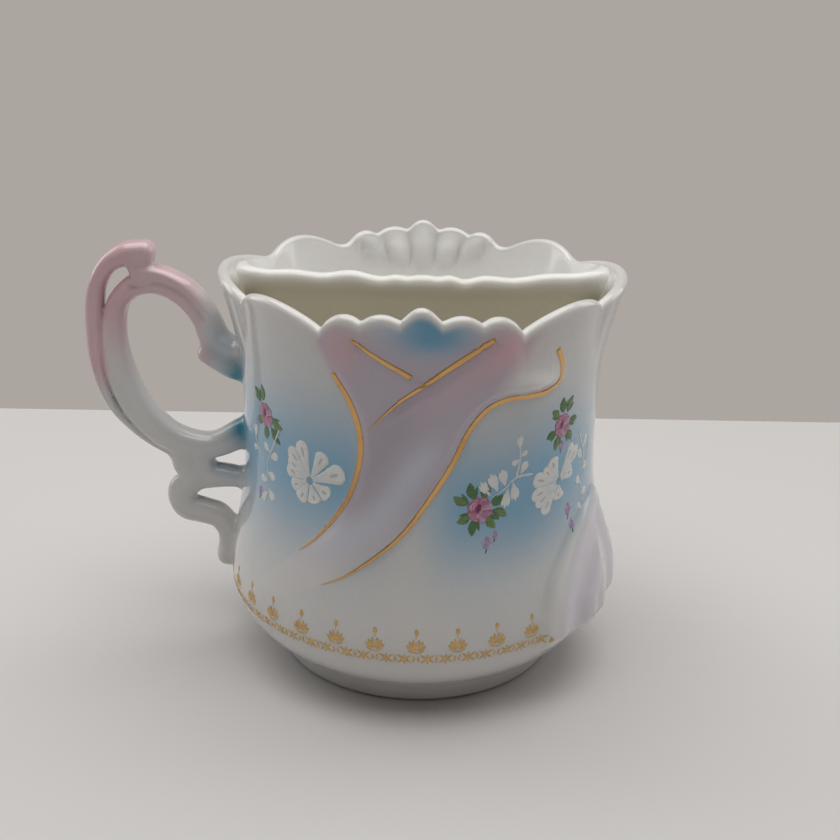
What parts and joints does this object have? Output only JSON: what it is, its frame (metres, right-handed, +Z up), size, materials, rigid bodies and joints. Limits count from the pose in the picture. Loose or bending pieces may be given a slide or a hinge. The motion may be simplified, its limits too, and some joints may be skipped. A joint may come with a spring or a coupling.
{
  "type": "shaving mug",
  "caption": "Divided porcelain shaving mug with a scalloped flared rim, a brush well, a soap tray behind the divider and an openwork scroll handle.",
  "frame": {"origin": "centre of the foot ring on the plane that the mug stands on", "axes": "+Z up along the mug's axis; the decorated front faces -Y and the handle stands out along -X, so +X points away from the handle"},
  "size_m": [0.126, 0.096, 0.0987],
  "materials": {
    "glazed_body": "white porcelain under a clear glossy glaze, with airbrushed blue and mauve grounds and fired-on gilding",
    "glazed_inside": "white porcelain under a clear glossy glaze",
    "tinted_handle": "white porcelain with a pink and blue tint under a clear glossy glaze",
    "bare_foot": "unglazed ground porcelain on the resting edge, glazed above",
    "gilding": "bright fired-on gold lines",
    "gold_print": "thin printed gold border",
    "enamel_print": "printed overglaze enamel flowers and sprigs"
  },
  "bodies": {
    "root": {"body_wall": "glazed_body", "base_floor": "glazed_body", "foot_ring": "bare_foot", "divider_wall": "glazed_inside", "soap_shelf": "glazed_inside", "handle_loop": "tinted_handle", "handle_leaf": "tinted_handle", "handle_thumb_stem": "tinted_handle", "handle_upper_lug": "tinted_handle", "handle_link": "tinted_handle", "handle_scroll": "tinted_handle"}
  },
  "joints": []
}
